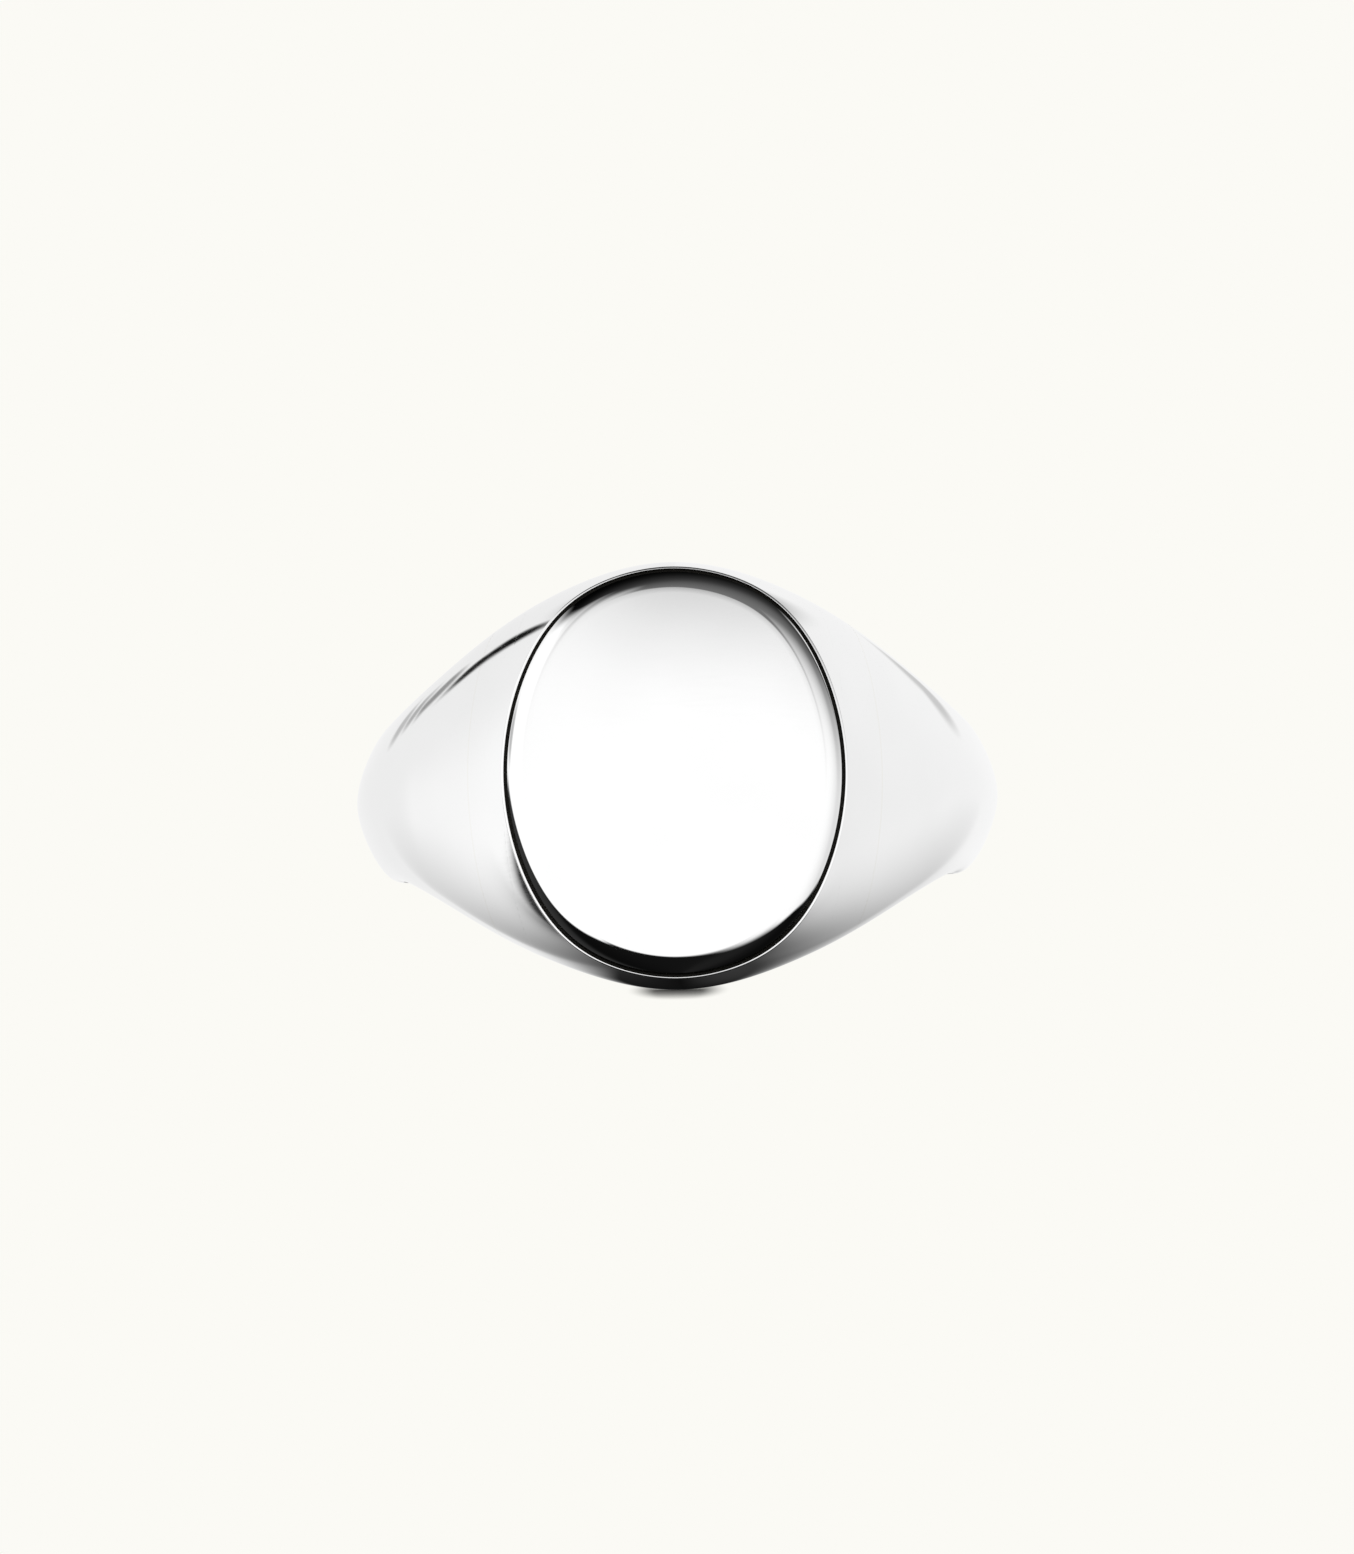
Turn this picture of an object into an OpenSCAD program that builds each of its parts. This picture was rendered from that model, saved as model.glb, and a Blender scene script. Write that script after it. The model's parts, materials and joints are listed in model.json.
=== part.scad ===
// Oval signet ring in sterling silver, lying on its side as it rests on a table.
//
// Ring axes, before it is laid down: X runs across the face, the face looks along -Y, and the
// finger hole runs along Z with its middle at the origin. lay_down() then tips the ring back
// until the lower end of the head and the lower edge of the shank touch one level plane.
// Every piece of the body is a stretch of one swept form, so the outside runs on smoothly
// over the solder seams.

/* [Hoop] */
// Radius of the finger hole (8.85 is a US size 7 1/2)
bore_r = 8.85; // [7.5:0.05:10.5]
// Thickness of the hoop at its sides
wall_side = 1.65; // [1.3:0.05:2.2]
// Thickness of the hoop at the back of the finger
wall_back = 1.55; // [1.2:0.05:2]
// Height of the widest level of the section above the finger hole
belly_h = 0.2; // [0.15:0.05:0.25]
// Depth over which the inner edges round over towards the finger
ease_depth = 0.3; // [0.3:0.05:0.5]
// How far the inner edges draw in as they round over
ease_in = 0.35; // [0.2:0.05:0.6]

/* [Widths along the finger] */
// Half-width of the head
head_half = 6.72; // [5.5:0.01:8]
// Half-width of the hoop at its sides
side_half = 2.7; // [2:0.01:3.4]
// Half-width of the shank at the back of the finger
back_half = 1.7; // [1.3:0.05:2]
// Angle from the face at which the head has narrowed to the width of the hoop
taper_end = 82; // [70:1:95]

/* [Shoulders] */
// Angle from the face at which the straight shoulder meets the round hoop
shoulder_end = 56; // [50:0.5:60]
// Angle over which the two shoulder slopes blend under the face
crown_blend = 12.5; // [10:0.5:18]
// Pinch of the section at the head (0 is half an ellipse, more draws its flanks in)
head_pinch = 0.04; // [0:0.01:0.3]
// Pinch of the section round the hoop
hoop_pinch = 0.32; // [0:0.01:0.4]
// How far both ends of the head flare out at the widest level of the section
lip = 0.13; // [0:0.01:0.2]
// Angle from the face at which that flare has run out
lip_end = 28; // [20:1:40]

/* [Face plate] */
// Height of the head's rim above the finger hole
rim_h = 1.35; // [1.1:0.05:1.6]
// Height of the plate above the rim, at its middle
plate_stand = 0.5; // [0.4:0.05:0.95]
// Depth of the seat cut into the head for the plate
seat_depth = 0.5; // [0.3:0.05:0.6]
// Width of the rim left outside the seat
rim_w = 0.05; // [0.04:0.01:0.12]
// Radius of the rounded edge of the plate
edge_r = 0.72; // [0.4:0.02:0.8]
// How far the rounded edge turns over before it meets the wall of the plate
edge_turn = 50; // [40:5:60]
// Rise of the gentle dome of the plate, from its rounded edge to its middle
dome_h = 0.08; // [0.03:0.01:0.15]

/* [Seams] */
// Angle from the face of the seams between the head and the shoulders
head_seam = 37; // [34:1:45]
// Angle from the face of the seams between the shoulders and the shank
shank_seam = 90; // [80:1:110]
// Thickness of the hard solder in each seam
solder_t = 0.06; // [0.04:0.01:0.1]
// Width of the gap between the plate and the wall of its seat
groove_w = 0.13; // [0.08:0.01:0.2]
// How far below the rim the solder in that gap stops, which leaves a fine groove
groove_depth = 0.25; // [0.1:0.05:0.35]

/* [Smoothness] */
// Angle between two sections along the hoop
section_step = 3; // [2:0.5:6]
// Points from the crest to the belly of a section
crest_points = 16; // [8:1:24]
// Points round a quarter of the plate
quarter_points = 24; // [12:1:40]
// Steps in the rounded edge of the plate
round_rings = 5; // [3:1:8]
// Steps in the dome of the plate
dome_rings = 5; // [3:1:8]

/* [Hidden] */

silver = "#c9cacc";
solder = "#b9bab8";
bore_fn = 180;
halvings = 30;                  // steps of each search by halving
inner_turns = [-18, -36, -54, -72, -90];
crest_bias = 1.8;               // crowds the section's points towards the belly
lip_fall = 60;                  // how soon the flare dies away above the belly
past = 1;                       // how far a cutter runs past the metal
under = 0.4;                    // how far the uncut section runs under the finger hole's wall

side_r = bore_r + wall_side;
back_r = bore_r + wall_back;
belly_r = bore_r + belly_h;
rim_y = bore_r + rim_h;
face_y = rim_y + plate_stand;
seat_y = rim_y - seat_depth;
wall_top = face_y - dome_h - edge_r * (1 - cos(edge_turn));

// 0 at the start of a stretch and 1 at its end, with a smooth start and stop
function glide(t) = (1 - cos(180 * max(0, min(1, t)))) / 2;

// At an angle a from the face: how much of the head is left, and how far round the back it is
function head_part(a) = 1 - glide(a / taper_end);
function back_part(a) = glide((a - 60) / 120);

// Half-width, crest radius, pinch and flare of the section at an angle a from the face
function half_width(a) =
    side_half - (side_half - back_half) * back_part(a) + (head_half - side_half) * head_part(a);
function hoop_r(a) = side_r - (side_r - back_r) * back_part(a);
function crest_r(a) =
    hoop_r(a) / cos(max(0, shoulder_end - sqrt(a * a + crown_blend * crown_blend)));
function pinch(a) = hoop_pinch + (head_pinch - hoop_pinch) * head_part(a);
function flare(a) = lip * (1 - glide(a / lip_end));

// Point of the section at a turn t: 90 at the crest, 0 at the belly, -90 past the inner edge
function section_r(a, t) = belly_r + (t >= 0 ? crest_r(a) - belly_r : ease_depth) * sin(t);
function section_z(a, t) = t >= 0
    ? half_width(a) * cos(t) * (1 - pinch(a) * pow(sin(t), 2)) + flare(a) * pow(cos(t), lip_fall)
    : half_width(a) + flare(a) - ease_in * (1 - cos(t));

// Turns of one section's points, from the crest down to the belly and under the hole
crest_turns = [for (i = [crest_points : -1 : 0]) 90 * pow(i / crest_points, crest_bias)];
half_turns = concat(crest_turns, inner_turns);

// A point at radius r, angle a from the face and height z
function ring_point(a, r, z) = [r * sin(a), -r * cos(a), z];

// The closed section at an angle a from the face, alike both ways round the hoop
function section_points(a) =
    let (b = abs(a) > 180 ? 360 - abs(a) : abs(a), foot = section_z(b, -90))
        concat(
            [for (t = half_turns) ring_point(a, section_r(b, t), section_z(b, t))],
            [ring_point(a, bore_r - under, foot), ring_point(a, bore_r - under, -foot)],
            [for (i = [len(half_turns) - 1 : -1 : 1])
                ring_point(a, section_r(b, half_turns[i]), -section_z(b, half_turns[i]))]
        );

// Two triangles between each pair of neighbouring points of each two neighbouring loops
function band_faces(loop_count, n) = [
    for (k = [0 : loop_count - 2], i = [0 : n - 1])
        let (j = (i + 1) % n)
            each [[k * n + i, k * n + j, (k + 1) * n + j], [k * n + i, (k + 1) * n + j, (k + 1) * n + i]]
];

// Solid through a list of loops, each of n points, closed by a flat end at both ends
module loft(loops) {
    n = len(loops[0]);
    last = (len(loops) - 1) * n;
    polyhedron(
        points = [for (loop = loops) each loop],
        faces = concat(
            [[for (i = [n - 1 : -1 : 0]) i]],
            band_faces(len(loops), n),
            [[for (i = [0 : n - 1]) last + i]]
        ),
        convexity = 6
    );
}

// At an angle a from the face: the turn at which the rim plane cuts the section, as a sine, and
// the half-width of the oval that this plane cuts from the body
function rim_rise(a) = (rim_y / cos(a) - belly_r) / (crest_r(a) - belly_r);
function rim_z(a) = section_z(a, asin(min(1, rim_rise(a))));

// The angle at which that oval closes, found by halving
function tip_angle(low = 20, high = 40, steps = halvings) = steps == 0
    ? low
    : let (mid = (low + high) / 2)
        rim_rise(mid) < 1 ? tip_angle(mid, high, steps - 1) : tip_angle(low, mid, steps - 1);
oval_tip = tip_angle();

// A quarter of the oval, from its side tip to its upper end, then the whole of it
function oval_quarter() = [
    for (i = [0 : quarter_points])
        let (a = oval_tip * pow(cos(90 * i / quarter_points), 2))
            [rim_y * tan(a), i == 0 ? 0 : rim_z(a)]
];
quarter = oval_quarter();
oval = concat(
    quarter,
    [for (i = [quarter_points - 1 : -1 : 0]) [-quarter[i][0], quarter[i][1]]],
    [for (i = [1 : quarter_points]) [-quarter[i][0], -quarter[i][1]]],
    [for (i = [quarter_points - 1 : -1 : 1]) [quarter[i][0], -quarter[i][1]]]
);
oval_count = len(oval);

// The oval drawn in by a distance d, square to its own edge
function outward(i) =
    let (t = oval[(i + 1) % oval_count] - oval[(i + oval_count - 1) % oval_count])
        [t[1], -t[0]] / norm(t);
function drawn_in(d) = [for (i = [0 : oval_count - 1]) oval[i] - d * outward(i)];
seat_outline = drawn_in(rim_w);
plate_in = rim_w + groove_w;
plate_outline = drawn_in(plate_in);

// A loop of the plate: an outline in X and Z, at a distance y in front of the hole's axis
function plate_loop(outline, y) = [for (p = outline) [p[0], -y, p[1]]];
function dome_y(k) = face_y - dome_h * k * k;

// Angle that a slip of solder takes up round the hoop
solder_turn = solder_t / ((belly_r + side_r) / 2) * 180 / PI;

// How low the section at an angle a reaches when the ring is tipped back by t, where the
// hoop's radius counts downwards at the back (side 1) and upwards at the head (side -1)
function reach(a, side, t) =
    max([for (turn = half_turns) side * section_r(a, turn) * sin(t) + section_z(a, turn) * cos(t)]);

// The tilt at which the head and the back reach equally low, found by halving
function rest_tilt(low = 5, high = 30, steps = halvings) = steps == 0
    ? low
    : let (mid = (low + high) / 2)
        reach(0, -1, mid) > reach(180, 1, mid)
            ? rest_tilt(mid, high, steps - 1)
            : rest_tilt(low, mid, steps - 1);
tilt = rest_tilt();

module lay_down() {
    rotate([-tilt, 0, 0]) children();
}

module finger_hole() {
    translate([0, 0, -head_half - past])
        cylinder(r = bore_r, h = 2 * (head_half + past), $fn = bore_fn);
}

// A stretch of the body from one angle to another, with the finger hole cut through it
module body_stretch(from, to) {
    steps = max(1, round((to - from) / section_step));
    difference() {
        loft([for (i = [0 : steps]) section_points(from + (to - from) * i / steps)]);
        finger_hole();
    }
}

// A flat slab of an outline, its back at a distance y in front of the hole's axis
module face_slab(outline, y, thickness) {
    rotate([90, 0, 0])
        translate([0, 0, y])
            linear_extrude(height = thickness) polygon(outline);
}

module above_rim() {
    translate([-side_r, -2 * side_r, -head_half - past])
        cube([2 * side_r, 2 * side_r - rim_y, 2 * (head_half + past)]);
}

module face_plate() {
    round_loops = [
        for (i = [0 : round_rings])
            let (t = edge_turn * (1 - i / round_rings), inset = edge_r * (sin(edge_turn) - sin(t)))
                plate_loop(drawn_in(plate_in + inset), wall_top + edge_r * (cos(t) - cos(edge_turn)))
    ];
    flat_outline = drawn_in(plate_in + edge_r * sin(edge_turn));
    dome_loops = [
        for (i = [1 : dome_rings])
            let (k = 1 - i / (dome_rings + 1))
                plate_loop([for (p = flat_outline) p * k], dome_y(k))
    ];
    color(silver)
        lay_down()
            loft(concat([plate_loop(plate_outline, seat_y + solder_t)], round_loops, dome_loops));
}

// The solder under the plate and up round its edge
module face_solder() {
    color(solder)
        lay_down()
            difference() {
                face_slab(seat_outline, seat_y, seat_depth - groove_depth);
                face_slab(plate_outline, seat_y + solder_t, seat_depth);
            }
}

module head() {
    color(silver)
        lay_down()
            difference() {
                body_stretch(-head_seam, head_seam);
                above_rim();
                face_slab(seat_outline, seat_y, side_r);
            }
}

// One side of the ring: 1 is the right and -1 the left, as seen from the front
module side_stretch(side, from, to) {
    lay_down() {
        if (side > 0) body_stretch(from, to);
        else body_stretch(-to, -from);
    }
}

module head_solder(side) {
    color(solder) side_stretch(side, head_seam, head_seam + solder_turn);
}

module shoulder(side) {
    color(silver) side_stretch(side, head_seam + solder_turn, shank_seam - solder_turn);
}

module shank_solder(side) {
    color(solder) side_stretch(side, shank_seam - solder_turn, shank_seam);
}

module shank() {
    color(silver) lay_down() body_stretch(shank_seam, 360 - shank_seam);
}

face_plate();
face_solder();
head();
head_solder(-1);  // left_head_solder
shoulder(-1);  // left_shoulder
shank_solder(-1);  // left_shank_solder
head_solder(1);  // right_head_solder
shoulder(1);  // right_shoulder
shank_solder(1);  // right_shank_solder
shank();
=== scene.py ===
"""Looks of a plain oval signet ring in polished sterling silver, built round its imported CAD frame.

The ring lies on its side on a pale table. Each piece of the ring is spun as a plain blank and then
pressed into one shared master form, so that the polished skin runs on over the solder seams.
"""

import json
import logging
import math
from collections.abc import Callable
from dataclasses import dataclass, field
from enum import Enum

import bmesh
import bpy
from mathutils import Matrix, Vector


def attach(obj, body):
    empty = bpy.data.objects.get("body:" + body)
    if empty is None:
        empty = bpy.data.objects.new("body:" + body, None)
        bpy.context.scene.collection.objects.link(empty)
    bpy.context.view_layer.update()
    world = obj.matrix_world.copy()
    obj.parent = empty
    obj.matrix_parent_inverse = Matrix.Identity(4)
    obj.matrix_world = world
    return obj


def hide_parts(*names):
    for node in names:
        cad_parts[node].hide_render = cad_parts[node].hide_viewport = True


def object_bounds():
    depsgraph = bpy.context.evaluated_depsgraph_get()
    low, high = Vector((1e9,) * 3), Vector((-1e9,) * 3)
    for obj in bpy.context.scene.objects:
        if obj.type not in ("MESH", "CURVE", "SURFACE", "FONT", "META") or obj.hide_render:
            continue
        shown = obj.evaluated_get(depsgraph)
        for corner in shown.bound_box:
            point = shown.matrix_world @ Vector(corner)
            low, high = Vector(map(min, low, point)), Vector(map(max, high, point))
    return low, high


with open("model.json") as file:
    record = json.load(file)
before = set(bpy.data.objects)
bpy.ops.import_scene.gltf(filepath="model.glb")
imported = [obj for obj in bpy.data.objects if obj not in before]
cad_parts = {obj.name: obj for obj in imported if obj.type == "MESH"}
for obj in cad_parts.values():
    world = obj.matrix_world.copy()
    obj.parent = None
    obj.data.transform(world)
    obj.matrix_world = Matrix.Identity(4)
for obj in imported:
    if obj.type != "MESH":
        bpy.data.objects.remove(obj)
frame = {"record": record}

LOG = logging.getLogger("signet_ring")
MM = 0.001
WELD = 1e-5
SHARP_ANGLE = math.radians(35)
DEGREES = math.degrees(1)
HALVINGS = 50
CAD_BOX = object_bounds()

# Kinds of shader node that come up again and again, and the setting of a range that eases.
MATH = "ShaderNodeMath"
RANGE = "ShaderNodeMapRange"
MIX = "ShaderNodeMix"
PLACE = "ShaderNodeTexCoord"
MAPPING = "ShaderNodeMapping"
NOISE = "ShaderNodeTexNoise"
VECTORS = "ShaderNodeVectorMath"
SMOOTH = {"interpolation_type": "SMOOTHSTEP"}

# Nearly all the values of a noise lie between these two.
NOISE_LOW, NOISE_HIGH = 0.3, 0.7

# A line drawn through stations: places along it, and its height or glow at each.
Stations = tuple[tuple[float, float], ...]


# ---------------------------------------------------------------- small helpers


def hex_colour(code: str) -> tuple[float, float, float, float]:
    """Turns an sRGB hex colour into the linear colour that a shader takes.

    Args:
        code: Six hex digits, with or without a leading hash.

    Returns:
        Linear red, green and blue, and an alpha of one.
    """
    digits = code.lstrip("#")
    parts = [int(digits[i : i + 2], 16) / 255 for i in (0, 2, 4)]
    linear = [c / 12.92 if c <= 0.04045 else ((c + 0.055) / 1.055) ** 2.4 for c in parts]
    return (*linear, 1.0)


def add_node(
    tree: bpy.types.NodeTree,
    kind: str,
    settings: dict[str, object] | None = None,
    inputs: dict[str | int, object] | None = None,
) -> bpy.types.Node:
    """Adds one node with its settings, and fills or links its inputs.

    Args:
        tree: The node tree to add to.
        kind: The node's Blender type name.
        settings: Properties of the node, by name.
        inputs: Values, output sockets or whole nodes for the node's inputs, by name or number;
            a whole node stands for its first output.

    Returns:
        The new node.
    """
    node = tree.nodes.new(kind)
    for name, value in (settings or {}).items():
        setattr(node, name, value)
    for key, value in (inputs or {}).items():
        if isinstance(value, bpy.types.Node):
            value = value.outputs[0]
        if isinstance(value, bpy.types.NodeSocket):
            tree.links.new(value, node.inputs[key])
        else:
            node.inputs[key].default_value = value
    return node


def glide(t: float) -> float:
    """Runs from 0 to 1 as t does, with a smooth start and stop."""
    return 0.5 - 0.5 * math.cos(math.pi * min(1.0, max(0.0, t)))


def eased(first: float, last: float, step: int, steps: int) -> float:
    """Gives a place between first and last, with the steps crowded at both ends."""
    return first + (last - first) * glide(step / steps)


# ---------------------------------------------------------------- the master form


@dataclass(frozen=True)
class RingForm:
    """The master form that every piece of the ring is pressed into.

    Lengths are in millimetres and angles in degrees. In the ring's own axes X runs across the
    face, the face looks along -Y and the finger hole runs along Z. An angle round the hoop is 0
    at the face and 180 at the back, and a turn of the section is 90 at its crest, 0 at its belly
    and -90 at its inner edge.
    """

    bore_r: float
    tilt: float
    wall_side: float = 1.65
    wall_back: float = 1.55
    belly_h: float = 0.2
    ease_in: float = 0.35
    head_half: float = 6.72
    side_half: float = 2.7
    back_half: float = 1.7
    taper_end: float = 82.0
    back_start: float = 60.0
    shoulder_end: float = 56.0
    crown_blend: float = 12.5
    head_pinch: float = 0.04
    hoop_pinch: float = 0.32
    lip: float = 0.13
    lip_end: float = 28.0
    lip_fall: float = 60.0
    rim_h: float = 1.35
    plate_stand: float = 0.5
    edge_r: float = 0.72
    edge_turn: float = 50.0
    dome_h: float = 0.08
    seat_depth: float = 0.5
    rim_w: float = 0.05
    solder_t: float = 0.06
    groove_w: float = 0.13
    groove_depth: float = 0.25
    head_seam: float = 37.0
    shank_seam: float = 90.0

    @classmethod
    def from_record(cls, record: dict) -> "RingForm":
        """Takes the finger hole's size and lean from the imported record.

        Args:
            record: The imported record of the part.

        Returns:
            The form, with its other sizes at their defaults.
        """
        hole = next(m for m in record["mounts"] if m["name"] == "finger_bore")
        lean = math.degrees(math.atan2(hole["axis"][1], hole["axis"][2]))
        return cls(bore_r=hole["dims"]["r_mm"], tilt=lean)

    @property
    def belly_r(self) -> float:
        """Radius of the widest level of the section."""
        return self.bore_r + self.belly_h

    @property
    def rim_y(self) -> float:
        """Distance of the head's rim from the axis of the finger hole."""
        return self.bore_r + self.rim_h

    @property
    def face_y(self) -> float:
        """Distance of the middle of the face from the axis of the finger hole."""
        return self.rim_y + self.plate_stand

    @property
    def seat_y(self) -> float:
        """Distance of the bottom of the plate's seat from the axis of the finger hole."""
        return self.rim_y - self.seat_depth

    @property
    def solder_turn(self) -> float:
        """Angle that a slip of solder takes up round the hoop."""
        middle = (self.belly_r + self.bore_r + self.wall_side) / 2
        return math.degrees(self.solder_t / middle)

    @property
    def touch_y(self) -> float:
        """Place along the table's Y, in metres, where the head touches it."""
        return (self.lay_down() @ Vector((0, -self.belly_r, -self.head_half - self.lip))).y

    def head_part(self, angle: float) -> float:
        """How much of the head is left at an angle: 1 at the face, 0 past the taper."""
        return 1 - glide(angle / self.taper_end)

    def back_part(self, angle: float) -> float:
        """How far an angle is towards the back of the finger, from 0 to 1."""
        return glide((angle - self.back_start) / (180 - self.back_start))

    def half_width(self, angle: float) -> float:
        """Half the width of the ring along the finger at an angle."""
        hoop = self.side_half - (self.side_half - self.back_half) * self.back_part(angle)
        return hoop + (self.head_half - self.side_half) * self.head_part(angle)

    def crest_r(self, angle: float) -> float:
        """Gives the radius of the section's crest, before the head is cut flat.

        Args:
            angle: Angle round the hoop, without its sign.

        Returns:
            The radius in millimetres.
        """
        wall = self.wall_side - (self.wall_side - self.wall_back) * self.back_part(angle)
        slope = self.shoulder_end - math.hypot(angle, self.crown_blend)
        return (self.bore_r + wall) / math.cos(math.radians(max(0.0, slope)))

    def pinch(self, angle: float) -> float:
        """How far the flanks are drawn in at an angle; 0 gives half an ellipse."""
        return self.hoop_pinch + (self.head_pinch - self.hoop_pinch) * self.head_part(angle)

    def flare(self, angle: float) -> float:
        """How far the ends of the head stand out at the belly, at an angle."""
        return self.lip * (1 - glide(abs(angle) / self.lip_end))

    def section(self, angle: float, turn: float) -> tuple[float, float]:
        """Gives one point of the section's upper half.

        Args:
            angle: Angle round the hoop from the face; its sign doesn't matter.
            turn: Turn of the section.

        Returns:
            The point's radius and its height along the finger.
        """
        angle = abs(angle)
        sine, cosine = math.sin(math.radians(turn)), math.cos(math.radians(turn))
        width = self.half_width(angle)
        if turn < 0:
            inner = width + self.flare(angle) - self.ease_in * (1 - cosine)
            return self.belly_r + self.belly_h * sine, inner
        radius = self.belly_r + (self.crest_r(angle) - self.belly_r) * sine
        height = width * cosine * (1 - self.pinch(angle) * sine * sine)
        return radius, height + self.flare(angle) * max(0.0, cosine) ** self.lip_fall

    def rise(self, angle: float, level: float) -> float:
        """How high a plane in front of the hole cuts the section: 0 at the belly, 1 at the crest.

        Args:
            angle: Angle round the hoop.
            level: Distance of the plane from the axis of the finger hole.

        Returns:
            The height as a share of the section's, which may pass 1.
        """
        reach = level / math.cos(math.radians(angle)) - self.belly_r
        return reach / (self.crest_r(abs(angle)) - self.belly_r)

    def lay_down(self) -> Matrix:
        """Matrix from the ring's own axes in millimetres to its rest on the table in metres."""
        return Matrix.Rotation(math.radians(-self.tilt), 4, "X") @ Matrix.Scale(MM, 4)


def ring_point(angle: float, radius: float, height: float) -> Vector:
    """Gives the point at an angle round the hoop, a radius and a height along the finger."""
    a = math.radians(angle)
    return Vector((radius * math.sin(a), -radius * math.cos(a), height))


@dataclass(frozen=True)
class Oval:
    """The oval outline that a plane in front of the finger hole cuts from the master form."""

    form: RingForm
    level: float
    tip: float = field(init=False)

    def __post_init__(self) -> None:
        """Finds by halving the angle at which the outline closes."""
        low, high = 0.0, self.form.shoulder_end
        for _ in range(HALVINGS):
            middle = (low + high) / 2
            if self.form.rise(middle, self.level) < 1:
                low = middle
            else:
                high = middle
        object.__setattr__(self, "tip", low)

    def point(self, way: float) -> tuple[float, float]:
        """Gives a point of the outline.

        Args:
            way: Way round the outline, from 0 at its right tip to 360 degrees.

        Returns:
            The point's X and Z.
        """
        angle = self.tip * math.cos(math.radians(way))
        turn = math.degrees(math.asin(min(1.0, self.form.rise(angle, self.level))))
        height = self.form.section(angle, turn)[1]
        side = 1 if math.sin(math.radians(way)) >= 0 else -1
        return self.level * math.tan(math.radians(angle)), side * height

    def outward(self, way: float) -> tuple[float, float]:
        """Gives the direction square to the outline and away from it.

        Args:
            way: Way round the outline in degrees.

        Returns:
            X and Z of a direction of unit length.
        """
        nudge = 0.5
        (x0, z0), (x1, z1) = self.point(way - nudge), self.point(way + nudge)
        length = math.hypot(x1 - x0, z1 - z0)
        return (z1 - z0) / length, (x0 - x1) / length

    def drawn_in(self, way: float, inset: float, level: float) -> Vector:
        """Gives a point of the outline moved in square to it, at another level.

        Args:
            way: Way round the outline in degrees.
            inset: How far the point is drawn in.
            level: Distance of the point from the axis of the finger hole.

        Returns:
            The point in the ring's own axes.
        """
        x, z = self.point(way)
        nx, nz = self.outward(way)
        return Vector((x - inset * nx, -level, z - inset * nz))


# ---------------------------------------------------------------- blanks and pieces


class Blank:
    """A plain spun sheet of rows and columns, to be pressed into a form."""

    def __init__(self, rows: int, columns: int, closed: bool = False) -> None:
        """Spins a straight wire into a sheet.

        Args:
            rows: Steps of the spin.
            columns: Stretches of the wire.
            closed: Whether the sheet is a whole tube or half of one.
        """
        self.rows = rows
        self.turn = 2 * math.pi if closed else math.pi
        self.bm = bmesh.new()
        ends = [self.bm.verts.new((1.0, 0.0, z)) for z in (0.0, float(columns))]
        wire = self.bm.edges.new(ends)
        bmesh.ops.subdivide_edges(self.bm, edges=[wire], cuts=columns - 1)
        bmesh.ops.spin(
            self.bm,
            geom=self.bm.verts[:] + self.bm.edges[:],
            cent=(0, 0, 0),
            axis=(0, 0, 1),
            angle=self.turn,
            steps=rows,
            use_merge=closed,
            use_duplicate=False,
        )

    def finish_from(self, column: int, finish_number: int) -> None:
        """Gives the faces past a column one of the piece's finishes.

        Args:
            column: The column that the finish starts from.
            finish_number: Which of the piece's finishes it is.
        """
        for face in self.bm.faces:
            if face.calc_center_median().z > column:
                face.material_index = finish_number

    def press(self, place: Callable[[int, int], Vector]) -> None:
        """Moves every vertex to where the form has it.

        Args:
            place: Gives the place of a vertex from its row and column.
        """
        step = self.turn / self.rows
        for vert in self.bm.verts:
            row = round((math.atan2(vert.co.y, vert.co.x) % (2 * math.pi)) / step)
            vert.co = place(row, round(vert.co.z))


def mirror_ends(bm: bmesh.types.BMesh) -> None:
    """Adds the other end of a piece, mirrored along the finger, and joins the two.

    Args:
        bm: The mesh of the end that has been pressed.
    """
    geometry = bm.verts[:] + bm.edges[:] + bm.faces[:]
    bmesh.ops.mirror(bm, geom=geometry, matrix=Matrix.Identity(4), merge_dist=WELD, axis="Z")
    bmesh.ops.remove_doubles(bm, verts=bm.verts[:], dist=WELD)


def open_edges(bm: bmesh.types.BMesh) -> list[bmesh.types.BMEdge]:
    """Lists the edges round the holes of a piece."""
    return [edge for edge in bm.edges if edge.is_boundary]


@dataclass(frozen=True)
class SectionSteps:
    """The columns of a blank from a section's top edge, over its belly, into the finger hole."""

    crest: int
    ease: int
    wall: int

    @property
    def edge(self) -> int:
        """The column at which the wall of the finger hole starts."""
        return self.crest + self.ease

    @property
    def total(self) -> int:
        """The last column, half-way along the finger hole."""
        return self.edge + self.wall

    def place(self, form: RingForm, angle: float, top: float, column: int) -> Vector:
        """Gives the place of one vertex of a section.

        Args:
            form: The master form.
            angle: Angle round the hoop, up to a whole turn.
            top: Turn of the section's top edge, 90 where its crest is whole.
            column: The vertex's column.

        Returns:
            The point in the ring's own axes.
        """
        folded = 360 - abs(angle) if abs(angle) > 180 else abs(angle)
        if column <= self.crest:
            turn = eased(top, 0, column, self.crest)
        else:
            turn = -90 * min(1.0, (column - self.crest) / self.ease)
        radius, height = form.section(folded, turn)
        if column > self.edge:
            height *= 1 - (column - self.edge) / self.wall
        return ring_point(angle, radius, height)


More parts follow.
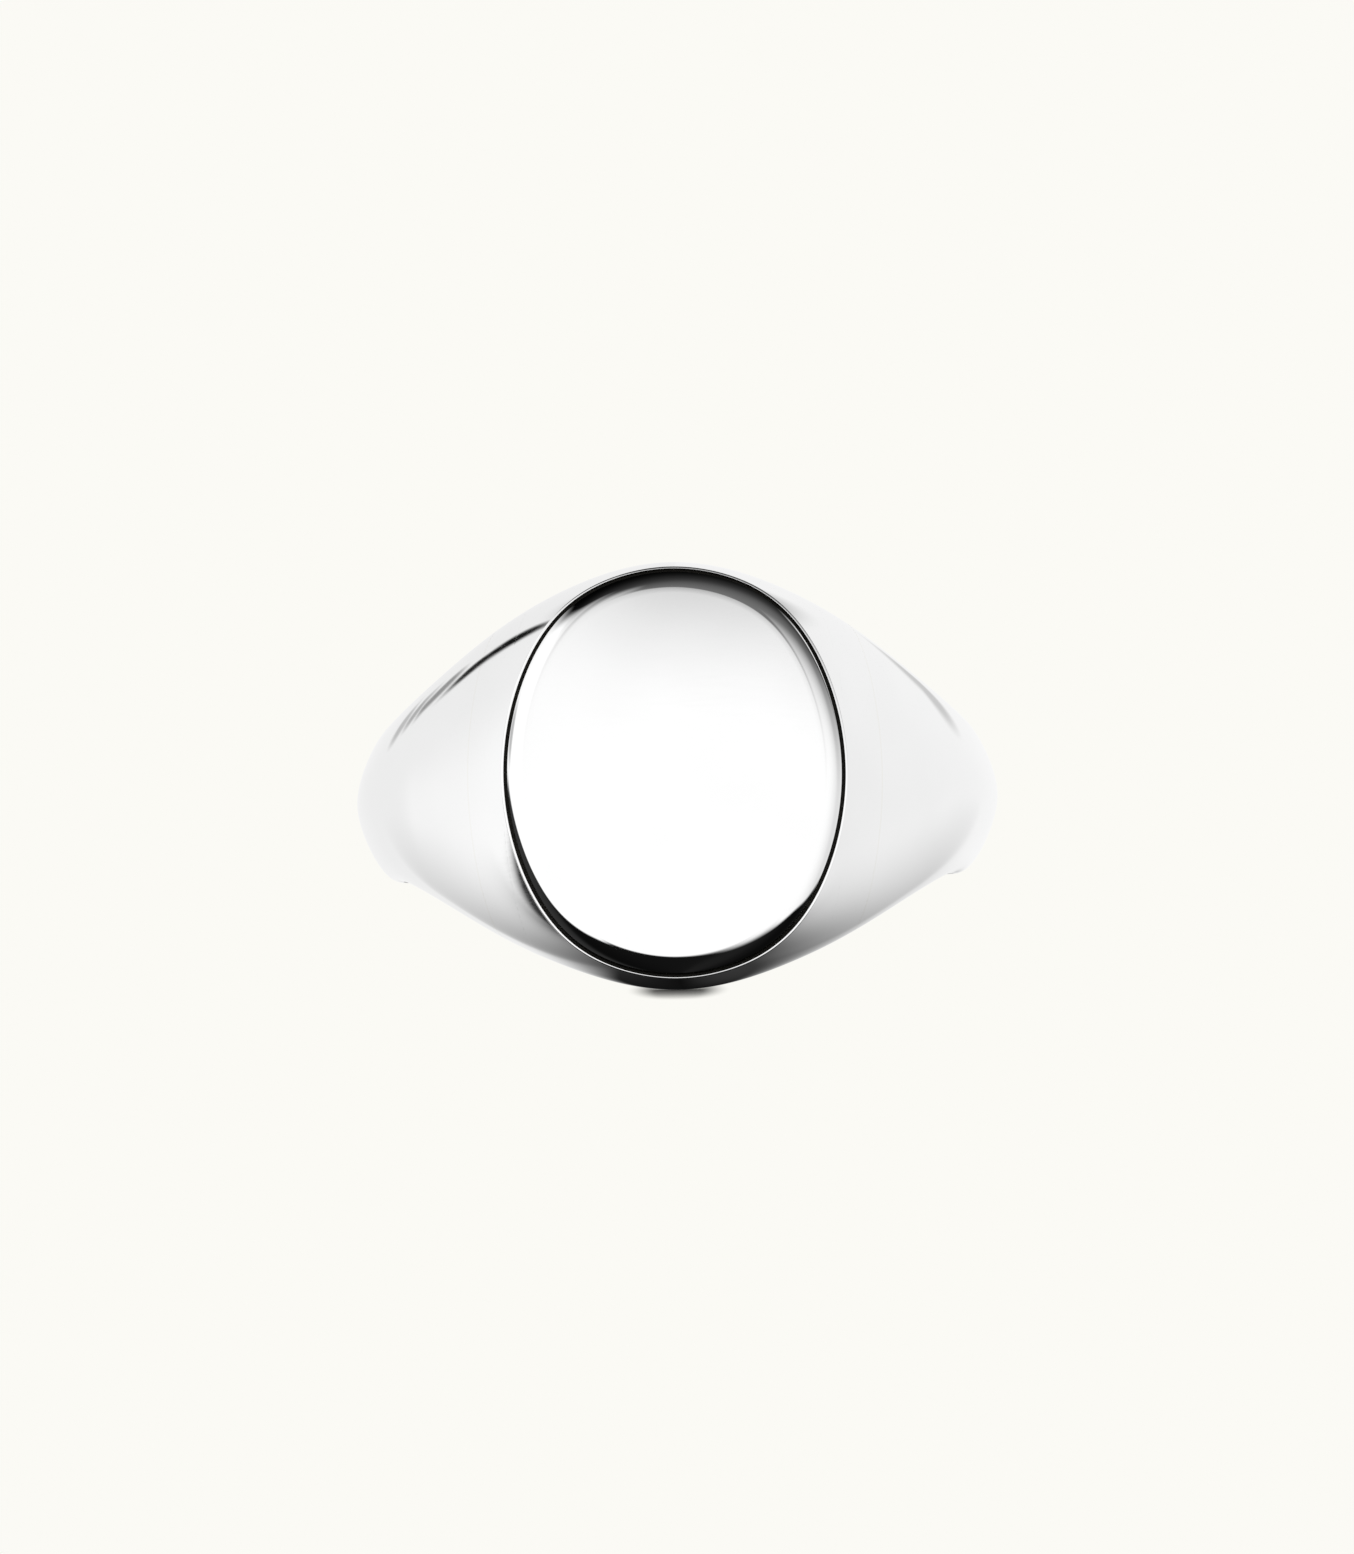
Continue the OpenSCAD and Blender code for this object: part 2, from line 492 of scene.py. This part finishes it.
@dataclass
class Piece:
    """One piece of the ring: which CAD nodes it stands for, and its finishes."""

    name: str
    nodes: tuple[str, ...]
    slot: str

    def cast(
        self, bm: bmesh.types.BMesh, form: RingForm, finishes: list[bpy.types.Material]
    ) -> None:
        """Lays a pressed mesh down on the table and makes it an object that rides on the ring.

        Args:
            bm: The closed mesh in the ring's own axes; it is freed.
            form: The master form.
            finishes: The materials that the faces number.
        """
        bmesh.ops.recalc_face_normals(bm, faces=bm.faces[:])
        for face in bm.faces:
            face.smooth = True
        for edge in bm.edges:
            edge.smooth = edge.calc_face_angle(0.0) < SHARP_ANGLE
        bm.transform(form.lay_down())
        mesh = bpy.data.meshes.new(self.name)
        bm.to_mesh(mesh)
        bm.free()
        for finish in finishes:
            mesh.materials.append(finish)
        piece = bpy.data.objects.new(self.name, mesh)
        bpy.context.scene.collection.objects.link(piece)
        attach(piece, "root")
        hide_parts(*self.nodes)
        stands_for = ", ".join(self.nodes)
        LOG.info("%s: %d faces, stands for %s", self.name, len(mesh.polygons), stands_for)


@dataclass
class HoopStretch:
    """A stretch of the hoop between two angles, with a D section and a plain finger hole."""

    piece: Piece
    form: RingForm
    start: float
    end: float
    rows: int
    steps: SectionSteps = SectionSteps(crest=48, ease=12, wall=6)

    def place(self, row: int, column: int) -> Vector:
        """Gives the place of a vertex of the blank in the hoop."""
        angle = eased(self.start, self.end, row, self.rows)
        return self.steps.place(self.form, angle, 90.0, column)

    def make(self, skin: bpy.types.Material, bore: bpy.types.Material) -> None:
        """Spins, presses, closes and dresses the stretch.

        Args:
            skin: Finish of the outside.
            bore: Finish of the wall of the finger hole.
        """
        blank = Blank(self.rows, self.steps.total)
        blank.finish_from(self.steps.edge, 1)
        blank.press(self.place)
        mirror_ends(blank.bm)
        bmesh.ops.holes_fill(blank.bm, edges=open_edges(blank.bm), sides=0)
        self.piece.cast(blank.bm, self.form, [skin, bore])


@dataclass
class Head:
    """The block behind the face plate, with its rim, its seat and its rounded ends."""

    piece: Piece
    form: RingForm
    seam_rows: int = 28
    oval_rows: int = 168
    steps: SectionSteps = SectionSteps(crest=40, ease=12, wall=8)
    rim_round: float = 0.04
    round_steps: int = 4

    @property
    def rows(self) -> int:
        """Rows of the whole head, from seam to seam."""
        return 2 * self.seam_rows + self.oval_rows

    def row_angle(self, row: int, tip: float) -> float:
        """Gives a row's angle, with rows set exactly on both tips of the oval.

        Args:
            row: The row of the blank.
            tip: Angle of the oval's tips from the middle of the face.

        Returns:
            The angle round the hoop, less than 0 on the left.
        """
        if row < self.seam_rows:
            return -eased(self.form.head_seam, tip, row, self.seam_rows)
        if row > self.seam_rows + self.oval_rows:
            return eased(self.form.head_seam, tip, self.rows - row, self.seam_rows)
        return -tip * math.cos(math.pi * (row - self.seam_rows) / self.oval_rows)

    def place(self, row: int, column: int, oval: Oval) -> Vector:
        """Gives the place of a vertex of the blank in the head.

        Args:
            row: The vertex's row.
            column: The vertex's column.
            oval: The oval that the crest is cut down to.

        Returns:
            The point in the ring's own axes.
        """
        angle = self.row_angle(row, oval.tip)
        top = 90.0
        if self.seam_rows < row < self.seam_rows + self.oval_rows:
            top = math.degrees(math.asin(min(1.0, self.form.rise(angle, oval.level))))
        return self.steps.place(self.form, angle, top, column)

    def turn_in(
        self,
        bm: bmesh.types.BMesh,
        edges: list[bmesh.types.BMEdge],
        ways: dict[bmesh.types.BMVert, float],
        place: Callable[[float], Vector],
    ) -> tuple[list[bmesh.types.BMEdge], dict[bmesh.types.BMVert, float]]:
        """Extrudes a loop of edges and sets each new vertex by its way round the oval.

        Args:
            bm: The head's mesh.
            edges: The loop to extrude.
            ways: Way round the oval of each vertex of the loop.
            place: Gives the place of a new vertex from its way round.

        Returns:
            The new loop and the ways of its vertices.
        """
        made = bmesh.ops.extrude_edge_only(bm, edges=edges)["geom"]
        loop = [g for g in made if isinstance(g, bmesh.types.BMEdge) and g.is_boundary]
        fresh = {}
        for vert in {v for edge in loop for v in edge.verts}:
            source = next(e.other_vert(vert) for e in vert.link_edges if e.other_vert(vert) in ways)
            fresh[vert] = ways[source]
        for vert, way in fresh.items():
            vert.co = place(way)
        return loop, fresh

    def make(self, skin: bpy.types.Material, bore: bpy.types.Material) -> None:
        """Spins and presses the head, turns in its rim, sinks the seat and closes it.

        Args:
            skin: Finish of the outside and the rim.
            bore: Finish of the wall of the finger hole.
        """
        form = self.form
        low_oval = Oval(form, form.rim_y - self.rim_round)
        rim_oval = Oval(form, form.rim_y)
        blank = Blank(self.rows, self.steps.total)
        blank.finish_from(self.steps.edge, 1)
        blank.press(lambda row, column: self.place(row, column, low_oval))
        bm = blank.bm
        mirror_ends(bm)
        # The open edges lie round the oval or on the two flat ends at the seams.
        ends_from = math.radians((low_oval.tip + form.head_seam) / 2)
        loop, ends = [], []
        for edge in open_edges(bm):
            middle = (edge.verts[0].co + edge.verts[1].co) / 2
            on_oval = abs(math.atan2(middle.x, -middle.y)) < ends_from
            (loop if on_oval else ends).append(edge)
        ways = {}
        for vert in {v for edge in loop for v in edge.verts}:
            share = math.degrees(math.atan2(vert.co.x, -vert.co.y)) / low_oval.tip
            way = math.degrees(math.acos(max(-1.0, min(1.0, share))))
            ways[vert] = way if vert.co.z >= 0 else 360 - way
        for step in range(1, self.round_steps + 1):
            turn = math.radians(90 * step / self.round_steps)
            inset = self.rim_round * (1 - math.cos(turn))
            level = low_oval.level + self.rim_round * math.sin(turn)
            loop, ways = self.turn_in(
                bm, loop, ways, lambda way, d=inset, y=level: low_oval.drawn_in(way, d, y)
            )
        for level in (form.rim_y, form.seat_y):
            loop, ways = self.turn_in(
                bm, loop, ways, lambda way, y=level: rim_oval.drawn_in(way, form.rim_w, y)
            )
        bmesh.ops.contextual_create(bm, geom=loop)
        bmesh.ops.holes_fill(bm, edges=ends, sides=0)
        self.piece.cast(bm, form, [skin, bore])


@dataclass
class FacePlate:
    """The blank oval plate: a short wall, an edge rolled over to meet it, and a gentle dome."""

    piece: Piece
    form: RingForm
    rows: int = 288
    roll_steps: int = 20
    dome_steps: int = 36

    def place(self, row: int, column: int, oval: Oval) -> Vector:
        """Gives the place of a vertex of the blank in the plate.

        Args:
            row: The vertex's row.
            column: The vertex's column, from the foot of the wall to the middle of the face.
            oval: The oval of the head's rim.

        Returns:
            The point in the ring's own axes.
        """
        form = self.form
        way = 360 * row / self.rows
        wall_in = form.rim_w + form.groove_w
        steep, radius = math.radians(form.edge_turn), form.edge_r
        x, z = oval.point(way)
        dome_reach = math.hypot(x, z) - wall_in - radius * math.sin(steep)
        gentle = math.atan(2 * form.dome_h / dome_reach)
        wall_top = form.face_y - form.dome_h - radius * (math.cos(gentle) - math.cos(steep))
        if column == 0:
            return oval.drawn_in(way, wall_in, form.seat_y + form.solder_t)
        if column <= 1 + self.roll_steps:
            lean = steep + (gentle - steep) * (column - 1) / self.roll_steps
            inset = wall_in + radius * (math.sin(steep) - math.sin(lean))
            return oval.drawn_in(way, inset, wall_top + radius * (math.cos(lean) - math.cos(steep)))
        edge = oval.drawn_in(way, wall_in + radius * (math.sin(steep) - math.sin(gentle)), 0)
        share = 1 - (column - 1 - self.roll_steps) / self.dome_steps
        level = form.face_y - form.dome_h * share * share
        return Vector((edge.x * share, -level, edge.z * share))

    def make(self, skin: bpy.types.Material) -> None:
        """Spins, presses, closes and dresses the plate.

        Args:
            skin: Finish of the plate.
        """
        oval = Oval(self.form, self.form.rim_y)
        blank = Blank(self.rows, 1 + self.roll_steps + self.dome_steps, closed=True)
        blank.press(lambda row, column: self.place(row % self.rows, column, oval))
        bmesh.ops.remove_doubles(blank.bm, verts=blank.bm.verts[:], dist=WELD)
        bmesh.ops.holes_fill(blank.bm, edges=open_edges(blank.bm), sides=0)
        self.piece.cast(blank.bm, self.form, [skin])


@dataclass
class SeatSolder:
    """The solder under the face plate, which also rises round its edge into the groove."""

    piece: Piece
    form: RingForm
    sag: float = 0.02
    rows: int = 288

    def make(self, finish: bpy.types.Material) -> None:
        """Spins, presses, closes and dresses the slip of solder.

        Args:
            finish: Finish of the solder where it shows in the groove, painted dark as shade.
        """
        form = self.form
        oval = Oval(form, form.rim_y)
        plate_in = form.rim_w + form.groove_w
        top = form.rim_y - form.groove_depth
        path = [
            (form.rim_w, form.seat_y),
            (form.rim_w, top),
            (form.rim_w + form.groove_w / 3, top - self.sag),
            (plate_in - form.groove_w / 3, top - self.sag),
            (plate_in, top),
            (plate_in, form.seat_y + form.solder_t),
        ]
        blank = Blank(self.rows, len(path) - 1, closed=True)
        turn = 360 / self.rows
        blank.press(lambda row, column: oval.drawn_in(turn * (row % self.rows), *path[column]))
        bmesh.ops.holes_fill(blank.bm, edges=open_edges(blank.bm), sides=0)
        self.piece.cast(blank.bm, form, [finish])


# ---------------------------------------------------------------- finishes


class Grain(Enum):
    """The way that the marks of polishing run, as how far a mark is drawn out along each axis."""

    ACROSS_FACE = (14.0, 1.0, 1.0)
    ROUND_HOOP = (14.0, 14.0, 1.0)


@dataclass(frozen=True)
class PolishedSilver:
    """Sterling silver brought up by buffing with rouge.

    A near-mirror with the faintest haze: long hairlines from the mop, and a slow unevenness that
    bends straight reflections a little. Real hairlines are a few thousandths of a millimetre
    wide, too fine to show, so they are drawn as coarse as they need to be to give their haze.
    """

    name: str
    grain: Grain
    colour: str = "#F4F4F4"
    shade: str = "#EFEFEF"
    roughness: tuple[float, float] = (0.025, 0.06)
    hairline_mm: float = 0.08
    ripple_mm: float = 2.6
    ripple_height_mm: float = 0.0012

    def make(self, tilt: float) -> bpy.types.Material:
        """Builds the material.

        Args:
            tilt: Lean of the ring's own axes from the table's, in degrees.

        Returns:
            The material.
        """
        material = bpy.data.materials.new(self.name)
        material.use_nodes = True
        tree = material.node_tree
        tree.nodes.clear()
        place = add_node(tree, PLACE)
        ring = add_node(
            tree,
            MAPPING,
            inputs={"Vector": place.outputs["Object"], "Rotation": (math.radians(tilt), 0.0, 0.0)},
        )
        packed = tuple(1 / (self.hairline_mm * MM * drawn_out) for drawn_out in self.grain.value)
        marks = add_node(tree, MAPPING, inputs={"Vector": ring, "Scale": packed})
        hairlines = add_node(tree, NOISE, inputs={"Vector": marks, "Scale": 1.0, "Detail": 2.0})
        haze = add_node(
            tree,
            RANGE,
            inputs={
                "Value": hairlines.outputs["Fac"],
                "From Min": NOISE_LOW,
                "From Max": NOISE_HIGH,
                "To Min": self.roughness[0],
                "To Max": self.roughness[1],
            },
        )
        slow = add_node(
            tree,
            NOISE,
            inputs={"Vector": ring, "Scale": 1 / (self.ripple_mm * MM), "Detail": 1.0},
        )
        tint = add_node(
            tree,
            MIX,
            {"data_type": "RGBA"},
            {
                "Factor": slow.outputs["Fac"],
                6: hex_colour(self.colour),
                7: hex_colour(self.shade),
            },
        )
        ripple = add_node(
            tree,
            "ShaderNodeBump",
            inputs={
                "Height": slow.outputs["Fac"],
                "Strength": 1.0,
                "Distance": self.ripple_height_mm * MM,
            },
        )
        shader = add_node(
            tree,
            "ShaderNodeBsdfPrincipled",
            inputs={
                "Base Color": tint.outputs[2],
                "Metallic": 1.0,
                "Roughness": haze,
                "Normal": ripple,
            },
        )
        add_node(tree, "ShaderNodeOutputMaterial", inputs={"Surface": shader})
        return material


# ---------------------------------------------------------------- the studio


def follow(mapping: bpy.types.CurveMapping, stations: Stations) -> None:
    """Bends a curve so that it runs smoothly through its stations.

    Args:
        mapping: The curve of a node.
        stations: Places along the curve and its values there, all from 0 to 1.
    """
    points = mapping.curves[0].points
    points[0].location, points[-1].location = stations[0], stations[-1]
    for x, y in stations[1:-1]:
        points.new(x, y)
    for point in points:
        point.handle_type = "AUTO_CLAMPED"
    mapping.update()


@dataclass(frozen=True)
class Slit:
    """A darker patch where two panels of the tent don't quite meet."""

    bearing: float
    height: float
    half_width: float
    half_height: float
    depth: float


@dataclass(frozen=True)
class Studio:
    """A white tent round the ring, dark above, below and where the lens looks in.

    A bearing of 0 is in front of the face, positive to the right, and 180 is behind. Each line of
    the tent is a row of stations, as bearing and height or glow. The tent lights the silver by
    reflection only; the table and the backdrop that the lens sees are one plain warm white, but for
    a painted contact shadow on the table round where the head touches it.
    """

    backdrop: str = "#FBFAF5"
    cloth: str = "#FFFFFF"
    cloth_glow: Stations = (
        (-180, 0.93), (-120, 0.95), (-104, 1.08), (-60, 1.19), (0, 1.14), (28, 1.12), (60, 0.96),
        (80, 0.83), (104, 0.95), (112, 0.98), (150, 1.0), (180, 0.96),
    )
    hem: Stations = (
        (-180, -22), (-165, -46), (-150, -58), (-120, -67), (-104, -43), (-96, -1), (-75, -5),
        (-60, -10), (-45, -13), (-30, -11), (-10, 1), (-3, 9), (2, 4), (10, -9), (30, -16),
        (45, -19), (70, -25), (90, -26), (104, -61), (125, -63), (150, -54), (165, -45),
        (180, -22),
    )
    hem_soft: Stations = (
        (-180, 12), (-150, 24), (-120, 57), (-102, 18), (-94, 6), (-60, 3), (-10, 4), (-3, 5),
        (2, 12), (10, 18), (30, 8), (60, 4), (90, 7), (104, 47), (125, 55), (150, 34), (165, 26),
        (180, 12),
    )
    top: Stations = (
        (-180, 36), (-140, 25), (-115, 34), (-100, 38), (-60, 44), (-30, 32), (-10, 18), (0, 22),
        (10, 19), (30, 18), (45, 16), (60, 11), (80, -1), (100, -4), (112, 30), (140, 23),
        (180, 36),
    )
    top_soft: Stations = (
        (-180, 10), (-140, 18), (-60, 13), (-10, 36), (0, 7), (20, 25), (60, 35), (90, 41),
        (112, 16), (140, 18), (180, 10),
    )
    floor_glow: Stations = (
        (-180, 0.006), (-100, 0.037), (-60, 0.026), (-35, 0.004), (-8, 0.006), (4, 0.008),
        (12, 0.014), (30, 0.008), (60, 0.004), (100, 0.019), (140, 0.042), (180, 0.005),
    )
    ceiling_glow: Stations = (
        (0.0, 0.0), (0.35, 0.005), (0.5, 0.015), (0.7, 0.046), (0.825, 0.105), (1.0, 0.2),
    )
    slits: tuple[Slit, ...] = (
        Slit(bearing=-133, height=22, half_width=3.6, half_height=11, depth=0.99),
        Slit(bearing=-133.5, height=15.5, half_width=2.8, half_height=4.5, depth=0.95),
        Slit(bearing=-138.5, height=11.8, half_width=4, half_height=3.5, depth=0.65),
        Slit(bearing=-143.5, height=8.5, half_width=4.5, half_height=3, depth=0.5),
        Slit(bearing=-149, height=5, half_width=6, half_height=3, depth=0.4),
        Slit(bearing=-93, height=14, half_width=16, half_height=9, depth=0.5),
        Slit(bearing=150, height=8, half_width=12, half_height=5, depth=0.35),
    )
    slit_core: float = 0.3
    ceiling_lean: float = 0.8
    table_size: float = 4.0
    # Painted contact shadow on the table: its reach, and the radius and core of its spot, in mm.
    painted_shadow_reach_mm: float = 0.8
    painted_shadow_radius_mm: float = 1.7
    painted_shadow_core: float = 0.3

    def make_world(self) -> None:
        """Builds the tent and the backdrop as the scene's world."""
        world = bpy.data.worlds.new("white_tent")
        bpy.context.scene.world = world
        world.use_nodes = True
        tree = world.node_tree
        tree.nodes.clear()

        way = add_node(tree, PLACE).outputs["Generated"]
        x, y, z = add_node(tree, "ShaderNodeSeparateXYZ", inputs={0: way}).outputs
        forward = add_node(tree, MATH, {"operation": "MULTIPLY"}, {0: y, 1: -1.0})
        turn = add_node(tree, MATH, {"operation": "ARCTAN2"}, {0: x, 1: forward})
        bearing = add_node(tree, MATH, {"operation": "MULTIPLY"}, {0: turn, 1: DEGREES})
        climb = add_node(tree, MATH, {"operation": "ARCSINE"}, {0: z})
        height = add_node(tree, MATH, {"operation": "MULTIPLY"}, {0: climb, 1: DEGREES})
        whole = {"From Min": -180.0, "From Max": 180.0}
        round_share = add_node(tree, RANGE, inputs={"Value": bearing} | whole)
        sideways = {0: x, 1: self.ceiling_lean, 2: forward}
        lean = add_node(tree, MATH, {"operation": "MULTIPLY_ADD"}, sideways)
        lean_share = add_node(tree, RANGE, inputs={"Value": lean, "From Min": -1.0})

        # Every line of the tent is a curve from 0 to 1, drawn out to its own lowest and highest.
        lines = []
        for along, stations, first, last, low, high in (
            (round_share, self.hem, -180, 180, -90, 90),
            (round_share, self.hem_soft, -180, 180, 0, 90),
            (round_share, self.top, -180, 180, -90, 90),
            (round_share, self.top_soft, -180, 180, 0, 90),
            (round_share, self.cloth_glow, -180, 180, 0, 2),
            (round_share, self.floor_glow, -180, 180, 0, 0.1),
            (lean_share, self.ceiling_glow, 0, 1, 0, 0.5),
        ):
            curve = add_node(tree, "ShaderNodeFloatCurve", inputs={"Value": along})
            reach, span = last - first, high - low
            shares = tuple(((at - first) / reach, (value - low) / span) for at, value in stations)
            follow(curve.mapping, shares)
            drawn_out = {"Value": curve, "To Min": low, "To Max": high}
            lines.append(add_node(tree, RANGE, inputs=drawn_out))
        hem, hem_soft, top, top_soft, cloth, floor, ceiling = lines

        here = add_node(tree, "ShaderNodeCombineXYZ", inputs={0: bearing, 1: height})
        for slit in self.slits:
            middle = (slit.bearing, slit.height, 0.0)
            extent = (slit.half_width, slit.half_height, 1.0)
            off = add_node(tree, VECTORS, {"operation": "SUBTRACT"}, {0: here, 1: middle})
            off = add_node(tree, VECTORS, {"operation": "DIVIDE"}, {0: off, 1: extent})
            off = add_node(tree, VECTORS, {"operation": "LENGTH"}, {0: off})
            ends = {"Value": off.outputs["Value"], "From Min": self.slit_core}
            left = add_node(tree, RANGE, SMOOTH, ends | {"To Min": 1 - slit.depth})
            cloth = add_node(tree, MATH, {"operation": "MULTIPLY"}, {0: cloth, 1: left})

        # From the floor up: the dark floor, the lit cloth, then the dark above it.
        glow = floor
        for edge, soft, above in ((hem, hem_soft, cloth), (top, top_soft, ceiling)):
            edge_end = add_node(tree, MATH, {"operation": "ADD"}, {0: edge, 1: soft})
            ends = {"Value": height, "From Min": edge, "From Max": edge_end}
            past = add_node(tree, RANGE, SMOOTH, ends)
            glow = add_node(tree, MIX, {"data_type": "FLOAT"}, {0: past, 2: glow, 3: above})
        tent, seen = (
            add_node(
                tree, "ShaderNodeBackground", inputs={"Color": hex_colour(code), "Strength": light}
            )
            for code, light in ((self.cloth, glow), (self.backdrop, 1.0))
        )
        direct = add_node(tree, "ShaderNodeLightPath").outputs["Is Camera Ray"]
        both = add_node(tree, "ShaderNodeMixShader", inputs={0: direct, 1: tent, 2: seen})
        add_node(tree, "ShaderNodeOutputWorld", inputs={"Surface": both})

    def make_table(self, level: float, touch_y: float) -> None:
        """Builds the pale table, a glowing card with a painted contact shadow only round the spot
        where the head touches it.

        Args:
            level: Height of the table top in metres.
            touch_y: How far along Y the head touches it, in metres.
        """
        bm = bmesh.new()
        bmesh.ops.create_grid(bm, x_segments=1, y_segments=1, size=self.table_size / 2)
        bmesh.ops.translate(bm, verts=bm.verts[:], vec=(0, 0, level))
        mesh = bpy.data.meshes.new("table")
        bm.to_mesh(mesh)
        bm.free()
        table = bpy.data.objects.new("table", mesh)
        bpy.context.scene.collection.objects.link(table)
        material = bpy.data.materials.new("table_painted_contact_shadow")
        material.use_nodes = True
        tree = material.node_tree
        tree.nodes.clear()
        # Painted contact shadow: occlusion dims the glow, only in a spot round the touch.
        painted_occlusion = add_node(
            tree,
            "ShaderNodeAmbientOcclusion",
            {"samples": 16},
            {"Distance": self.painted_shadow_reach_mm * MM},
        )
        place = add_node(tree, PLACE)
        touch = add_node(
            tree,
            VECTORS,
            {"operation": "DISTANCE"},
            {0: place.outputs["Object"], 1: (0.0, touch_y, level)},
        )
        radius = self.painted_shadow_radius_mm * MM
        ends = {"From Min": self.painted_shadow_core * radius, "From Max": radius}
        # The spot that the painted contact shadow is kept to, easing out to full glow at its edge.
        far = add_node(tree, RANGE, SMOOTH, {"Value": touch.outputs["Value"]} | ends)
        lit = {0: painted_occlusion.outputs["AO"], 1: far}
        light = add_node(tree, MATH, {"operation": "MAXIMUM"}, lit)
        glow = add_node(
            tree,
            "ShaderNodeEmission",
            inputs={"Color": hex_colour(self.backdrop), "Strength": light},
        )
        add_node(tree, "ShaderNodeOutputMaterial", inputs={"Surface": glow})
        mesh.materials.append(material)
        table.visible_glossy = False
        table.visible_diffuse = False


@dataclass(frozen=True)
class Lens:
    """The camera, by where it stands round the ring and how much it takes in."""

    distance_mm: float = 350.0
    lean_to_face: float = 4.97
    azimuth: float = 0.45
    roll: float = 1.05
    frame_height_mm: float = 50.93
    aim_up_mm: float = 0.76
    sensor_mm: float = 24.0

    def make(self, form: RingForm) -> None:
        """Sets up the camera.

        Args:
            form: The master form, whose tilt the camera's height follows.
        """
        rise = math.radians(form.tilt - self.lean_to_face)
        turn = math.radians(self.azimuth)
        towards = Vector(
            (math.sin(turn) * math.cos(rise), -math.cos(turn) * math.cos(rise), math.sin(rise))
        )
        place = towards * self.distance_mm * MM
        up = Vector((0, 0, 1))
        lens_up = (up - towards * up.dot(towards)).normalized()
        aim = lens_up * self.aim_up_mm * MM
        look = (aim - place).to_track_quat("-Z", "Y").to_matrix().to_4x4()
        data = bpy.data.cameras.new("lens")
        data.sensor_fit = "VERTICAL"
        data.sensor_height = self.sensor_mm
        data.lens = self.sensor_mm * self.distance_mm / self.frame_height_mm
        data.clip_start = 0.01
        camera = bpy.data.objects.new("lens", data)
        camera.matrix_world = (
            Matrix.Translation(place) @ look @ Matrix.Rotation(math.radians(-self.roll), 4, "Z")
        )
        bpy.context.scene.collection.objects.link(camera)
        bpy.context.scene.camera = camera


# ---------------------------------------------------------------- the whole ring


def make_ring(form: RingForm) -> None:
    """Builds every piece of the ring, from the face to the back of the finger.

    Args:
        form: The master form.
    """
    # Sterling silver, buffed to and fro across the face with rouge on a mop: a clean mirror,
    # with its faint haze in fine streaks across the face.
    face = PolishedSilver("silver_face_buffed", Grain.ACROSS_FACE).make(form.tilt)
    # The same silver, buffed round the hoop: the same mirror, with the streaks of its haze
    # running round the ring and over the shoulders.
    skin = PolishedSilver("silver_hoop_buffed", Grain.ROUND_HOOP).make(form.tilt)
    # The finger hole is only taken to a felt polish: bright, but its reflections have soft edges.
    bore = PolishedSilver(
        "silver_bore_felt_polished",
        Grain.ROUND_HOOP,
        roughness=(0.07, 0.11),
        hairline_mm=0.05,
    ).make(form.tilt)
    # Hard silver solder, filed flush and buffed with the hoop: a shade warmer and greyer than
    # sterling, so a seam is all but lost to the eye.
    solder = PolishedSilver(
        "hard_solder_polished", Grain.ROUND_HOOP, colour="#F2F2F0", shade="#EEEDEB"
    ).make(form.tilt)
    # The solder down in the groove, which no mop reaches: dull, and painted dark as the shade down
    # in the groove, so the face is edged with a fine dark line.
    groove = PolishedSilver(
        "hard_solder_painted_groove_shade",
        Grain.ROUND_HOOP,
        colour="#2B2A27",
        shade="#1B1A18",
        roughness=(0.35, 0.5),
    ).make(form.tilt)
    FacePlate(Piece("blank_face_plate", ("face_plate",), "face_plate_silver"), form).make(face)
    SeatSolder(Piece("seat_solder", ("face_solder",), "hard_solder"), form).make(groove)
    Head(Piece("ring_head", ("head",), "head_silver"), form).make(skin, bore)
    near, far, slip = form.head_seam, form.shank_seam, form.solder_turn
    for hand, sign in (("left", -1), ("right", 1)):
        for part, slot, first, last, rows, dress in (
            ("head_solder", "hard_solder", near, near + slip, 3, solder),
            ("shoulder", "shoulder_silver", near + slip, far - slip, 96, skin),
            ("shank_solder", "hard_solder", far - slip, far, 3, solder),
        ):
            node = f"{hand}_{part}"
            piece = Piece(f"{node}_piece", (node,), slot)
            HoopStretch(piece, form, sign * first, sign * last, rows).make(dress, bore)
    shank = Piece("half_shank", ("shank",), "shank_silver")
    HoopStretch(shank, form, far, 360 - far, 240).make(skin, bore)


def main() -> None:
    """Builds the studio and the ring."""
    logging.basicConfig(level=logging.INFO, format="%(name)s: %(message)s")
    form = RingForm.from_record(frame["record"])
    scene = bpy.context.scene
    scene.view_settings.view_transform = "Standard"
    studio = Studio()
    studio.make_world()
    studio.make_table(CAD_BOX[0][2], form.touch_y)
    Lens().make(form)
    make_ring(form)


if __name__ == "__main__":
    main()
